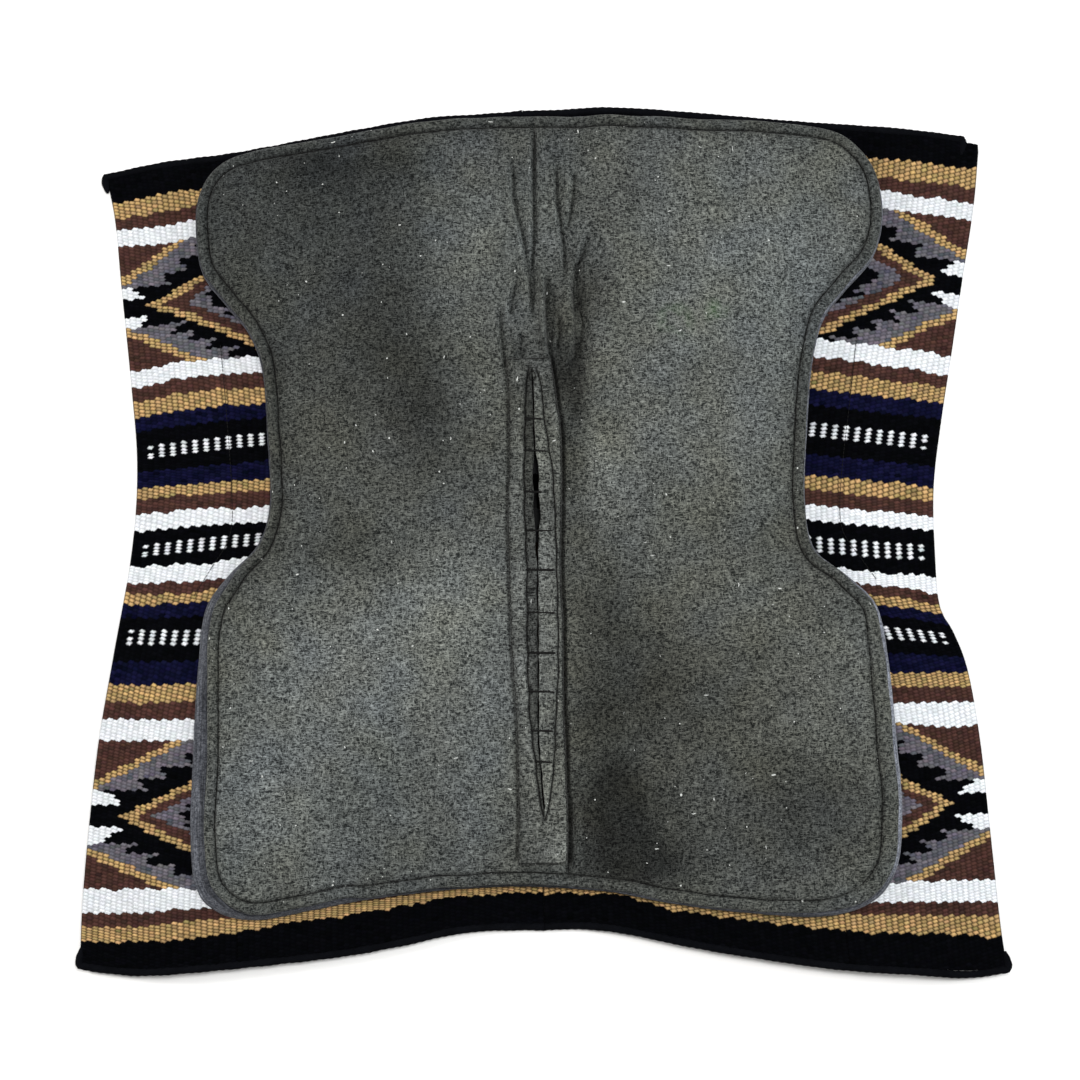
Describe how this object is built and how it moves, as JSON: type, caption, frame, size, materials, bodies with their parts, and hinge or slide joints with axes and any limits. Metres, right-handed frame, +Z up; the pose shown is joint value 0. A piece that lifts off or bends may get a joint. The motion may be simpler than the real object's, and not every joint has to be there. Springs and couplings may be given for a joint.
{
  "type": "western saddle pad",
  "caption": "Western saddle pad with a striped woven blanket, a felt core, a charcoal felt liner cut to a saddle shape, and a laced spine slot; both sides fold up along the spine.",
  "frame": {"origin": "on the floor under the middle of the box that the open pad fills", "axes": "+X across the pad to its right side in the picture, +Y along the spine to the withers end, +Z up, out of the felt side"},
  "size_m": [0.926, 0.884, 0.0745],
  "materials": {
    "woven_wool": "weft-faced woven wool, matte, striped in black, gold, brown, navy and white",
    "end_cord": "black wool end cord, matte",
    "felt_core": "blue-grey pressed felt, matte",
    "felt_liner": "heathered charcoal pressed wool felt, matte",
    "felt_strip": "charcoal pressed wool felt, matte",
    "thread": "waxed black thread, low sheen",
    "wear_leather": "oiled dark brown leather, satin"
  },
  "bodies": {
    "spine": {"woven_spine_left": "woven_wool", "woven_spine_right": "woven_wool", "core_rail_left": "felt_core", "core_rail_right": "felt_core", "core_front_web": "felt_core", "core_rear_web": "felt_core", "liner_rail_left": "felt_liner", "liner_rail_right": "felt_liner", "liner_front_web": "felt_liner", "liner_rear_web": "felt_liner", "front_end_cord_spine_left": "end_cord", "front_end_cord_spine_right": "end_cord", "rear_end_cord_spine_left": "end_cord", "rear_end_cord_spine_right": "end_cord", "rim_stitch_front_left": "thread", "rim_stitch_front_right": "thread", "rim_stitch_rear_left": "thread", "rim_stitch_rear_right": "thread", "spine_strip_left": "felt_strip", "spine_strip_right": "felt_strip", "spine_strip_front": "felt_strip", "spine_strip_rear": "felt_strip", "slot_lip_left": "felt_strip", "slot_lip_right": "felt_strip", "slot_tack_01": "thread", "slot_tack_02": "thread", "slot_tack_03": "thread", "slot_tack_04": "thread", "slot_tack_05": "thread", "slot_tack_06": "thread", "slot_tack_07": "thread", "slot_tack_08": "thread", "slot_tack_09": "thread", "slot_tack_10": "thread", "strip_stitch": "thread"},
    "left_panel": {"woven_blanket_left": "woven_wool", "front_end_cord_left": "end_cord", "rear_end_cord_left": "end_cord", "felt_core_left": "felt_core", "felt_liner_left": "felt_liner", "rim_stitch_left": "thread", "wear_leather_left": "wear_leather", "wear_leather_stitch_left": "thread"},
    "right_panel": {"woven_blanket_right": "woven_wool", "front_end_cord_right": "end_cord", "rear_end_cord_right": "end_cord", "felt_core_right": "felt_core", "felt_liner_right": "felt_liner", "rim_stitch_right": "thread", "wear_leather_right": "wear_leather", "wear_leather_stitch_right": "thread"}
  },
  "joints": [
    {"name": "fold_left", "type": "hinge", "parent": "spine", "child": "left_panel", "pos_m": [-0.042, 0, 0.04618], "axis": [0, 0.9986, 0.0531], "range_deg": [0, 85]},
    {"name": "fold_right", "type": "hinge", "parent": "spine", "child": "right_panel", "pos_m": [0.022, 0, 0.04618], "axis": [0, -0.9986, -0.0531], "range_deg": [0, 85]}
  ]
}
